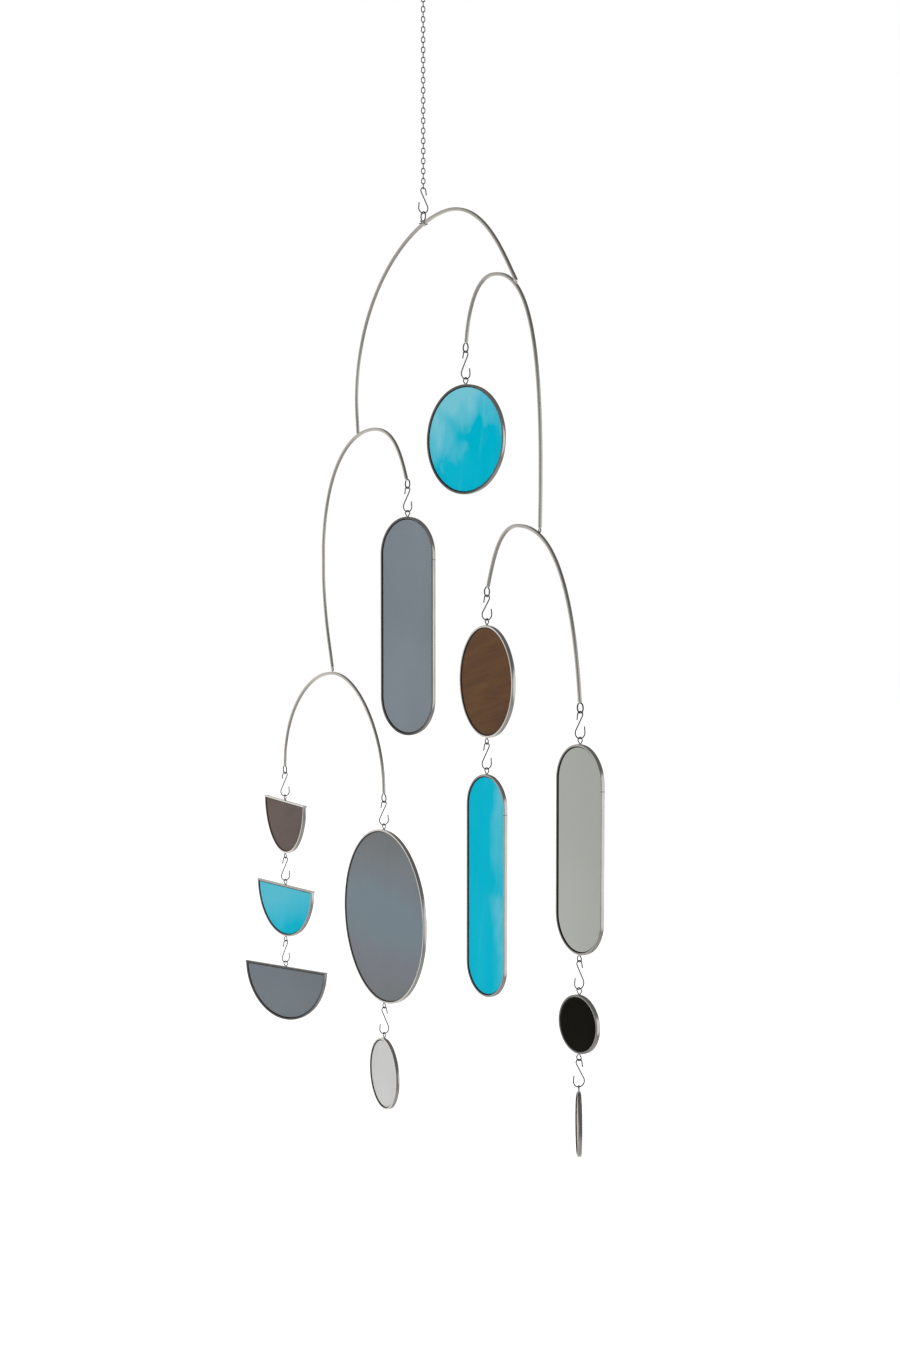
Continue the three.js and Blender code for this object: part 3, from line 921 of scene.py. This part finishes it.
def add_panel(name, carries_more):
    """A panel's channel and glass, and where its outline lies."""
    panel = panel_of(name)
    matrix = Matrix.Translation(panel["centre"]) @ Matrix.Rotation(panel["turn"], 4, "Z")
    channel = build(name + "_channel", frame_parts(panel, carries_more), matrix)
    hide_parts(f"{name}_frame")
    slot = PANEL_GLASS[name]
    slab = glass_slab(panel, OTHER_SHEET.get(name, slot))
    glass = build(name + "_sheet", [slab], matrix, GLASS_SHARP_ANGLE)
    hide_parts(f"{name}_glass")
    return panel


def add_strings():
    """Hooks and panels of each string, from its ring down."""
    inside_eye = EYE_DIAMETER - EYE_WIRE - SOLDER_SINK
    for ring_node, names in STRINGS.items():
        low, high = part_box(ring_node)
        place = [(low[0] + high[0]) / 2, (low[1] + high[1]) / 2, low[2] + ROD_RING_WIRE + CLEARANCE]
        for i, name in enumerate(names):
            carries_more = i < len(names) - 1
            panel = add_panel(name, carries_more)
            rest = panel["top"] + inside_eye
            add_hook(f"{name}_hook", place, place[2] - rest + 2 * HOOK_WIRE + CLEARANCE)
            place = [place[0], place[1], panel["bottom"] - inside_eye + CLEARANCE]


def add_chain_hook():
    ring_low, ring_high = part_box("top_arch_ring")
    chain_low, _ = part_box("chain")
    top = chain_low[2] + LINK_WIRE + CLEARANCE
    rest = ring_high[2] - ROD_RING_WIRE
    add_hook("chain_hook", [0, 0, top], top - rest + 2 * HOOK_WIRE + CLEARANCE)


# Solder
def add_solder():
    """Solder at each foot, and along the arch that it lands on."""
    lines = {name: rod_line(name) for name in ARCHES}
    lumps = []
    for name, line in lines.items():
        for end, inner in ((line[0], line[3]), (line[-1], line[-4])):
            lean = math.atan2(*(end - inner)[::-1])
            place = (end[0], 0, end[1])
            lumps.append(bead(place, FOOT_LUMP, lean, len(lumps)))
            for other, landing in lines.items():
                gaps = np.linalg.norm(landing - end, axis=1)
                i = int(np.clip(gaps.argmin(), 1, len(landing) - 2))
                if other == name or gaps[i] > LANDING_REACH:
                    continue
                lean = math.atan2(*(landing[i + 1] - landing[i - 1])[::-1])
                across, up = (end + landing[i]) / 2
                lumps.append(bead((across, 0, up), LANDING_LUMP, lean, len(lumps)))
    piece = build("arch_solder", lumps)


def add_collar():
    """The wire wrapped and soldered round the top arch under its ring, with its two cut ends."""
    low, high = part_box("top_arch_ring")
    foot = np.array([(low[0] + high[0]) / 2, low[2]])
    line = rod_line("top_arch")
    i = np.linalg.norm(line - foot, axis=1).argmin()
    along = (line[i + 1] - line[i - 1]) / np.linalg.norm(line[i + 1] - line[i - 1])
    middle = line[i]
    parts = []
    for step in (-1, 0, 1):
        around = Matrix(((-along[1], along[0], 0), (0, 0, 1), (along[0], along[1], 0))).to_4x4()
        place = middle + along * step * COLLAR_STEP
        tilt = Matrix.Rotation(math.radians(COLLAR_SPREAD * step + COLLAR_LEAN), 4, "X")
        matrix = Matrix.Translation((place[0], 0, place[1])) @ around @ tilt
        parts.append(placed(ring(COLLAR_DIAMETER, COLLAR_WIRE, "solder"), matrix))
    parts.append(bead((foot[0], 0, foot[1]), RING_LUMP, seed=5))
    lean = math.atan2(along[1], along[0])
    parts.append(bead((middle[0], 0, middle[1]), COLLAR_LUMP, lean, seed=8))
    for start, direction, length in CUT_ENDS:
        point = Vector((middle[0], 0, middle[1])) + Vector(start) * MM
        matrix = Matrix.Translation(point) @ Vector(direction).to_track_quat("X", "Z").to_matrix().to_4x4()
        straight = [(length * share * MM, 0) for share in (0, 0.35, 0.7, 1)]
        parts.append(placed(wire(straight, COLLAR_WIRE, "wire_metal"), matrix))
    piece = build("top_arch_collar", parts)


# Floor and light
def add_floor():
    """A white floor. Its glow keeps it as white as the background, and the metal doesn't mirror it."""
    bpy.ops.mesh.primitive_plane_add(size=FLOOR_SIZE, location=(0, 0, cad_box[0][2] - FLOOR_DROP))
    floor = bpy.context.object
    floor.name = "floor"
    floor.visible_glossy = False
    material, shader = new_material("floor_paint")
    grain = noise(material, local_place(material), 60, 2)
    colour = ramp(material, grain, [(0.3, FLOOR_GREYS[0]), (0.7, FLOOR_GREYS[1])])
    material.node_tree.links.new(colour, shader.inputs["Base Color"])
    shader.inputs["Roughness"].default_value = 0.9
    shader.inputs["Emission Color"].default_value = (1, 1, 1, 1)
    shader.inputs["Emission Strength"].default_value = FLOOR_GLOW
    floor.data.materials.append(material)


def towards(azimuth, elevation):
    """A direction, from degrees round from +X and up from level."""
    turn, tilt = math.radians(azimuth), math.radians(elevation)
    return Vector((math.cos(turn) * math.cos(tilt), math.sin(turn) * math.cos(tilt), math.sin(tilt)))


def add_light(name, azimuth, elevation, distance, size, power):
    """A large soft light on the suncatcher's middle. The metal mirrors the room and not the light."""
    middle = Vector((0, 0, (cad_box[0][2] + cad_box[1][2]) / 2))
    data = bpy.data.lights.new(name, "AREA")
    data.shape = "SQUARE"
    data.size = size
    data.energy = power
    light = bpy.data.objects.new(name, data)
    light.location = middle + towards(azimuth, elevation) * distance
    light.rotation_euler = (middle - light.location).to_track_quat("-Z", "Y").to_euler()
    light.visible_glossy = False
    bpy.context.collection.objects.link(light)


def add_world():
    """A dim room with a pale wall, a window, a pale ground and a card in front. The camera sees white."""
    world = bpy.data.worlds.new("room")
    bpy.context.scene.world = world
    world.use_nodes = True
    nodes, links = world.node_tree.nodes, world.node_tree.links
    nodes.clear()
    output = nodes.new("ShaderNodeOutputWorld")
    seen = nodes.new("ShaderNodeBackground")
    seen.inputs["Color"].default_value = (1, 1, 1, 1)
    room = nodes.new("ShaderNodeBackground")
    room.inputs["Color"].default_value = (1, 1, 1, 1)
    room.inputs["Strength"].default_value = ROOM_LEVEL
    place = nodes.new("ShaderNodeTexCoord")
    total = room.outputs[0]
    for azimuth, elevation, full, gone, strength, colour in (LEFT_WALL, BACK_WINDOW, GROUND, FRONT_CARD):
        dot = nodes.new("ShaderNodeVectorMath")
        dot.operation = "DOT_PRODUCT"
        dot.inputs[1].default_value = towards(azimuth, elevation)
        links.new(place.outputs["Generated"], dot.inputs[0])
        level = nodes.new("ShaderNodeMapRange")
        level.interpolation_type = "SMOOTHSTEP"
        level.inputs["From Min"].default_value = math.cos(math.radians(gone))
        level.inputs["From Max"].default_value = math.cos(math.radians(full))
        level.inputs["To Max"].default_value = strength
        links.new(dot.outputs["Value"], level.inputs["Value"])
        patch = nodes.new("ShaderNodeBackground")
        patch.inputs["Color"].default_value = colour
        links.new(level.outputs[0], patch.inputs["Strength"])
        both = nodes.new("ShaderNodeAddShader")
        links.new(total, both.inputs[0])
        links.new(patch.outputs[0], both.inputs[1])
        total = both.outputs[0]
    switch = nodes.new("ShaderNodeMixShader")
    path = nodes.new("ShaderNodeLightPath")
    links.new(path.outputs["Is Camera Ray"], switch.inputs[0])
    links.new(total, switch.inputs[1])
    links.new(seen.outputs[0], switch.inputs[2])
    links.new(switch.outputs[0], output.inputs[0])


add_rods()
add_rings()
add_chain()
add_chain_hook()
add_strings()
add_solder()
add_collar()
add_floor()
add_world()
add_light("front", *FRONT_LIGHT)
add_light("back", *BACK_LIGHT)
bpy.context.scene.view_settings.view_transform = "Standard"
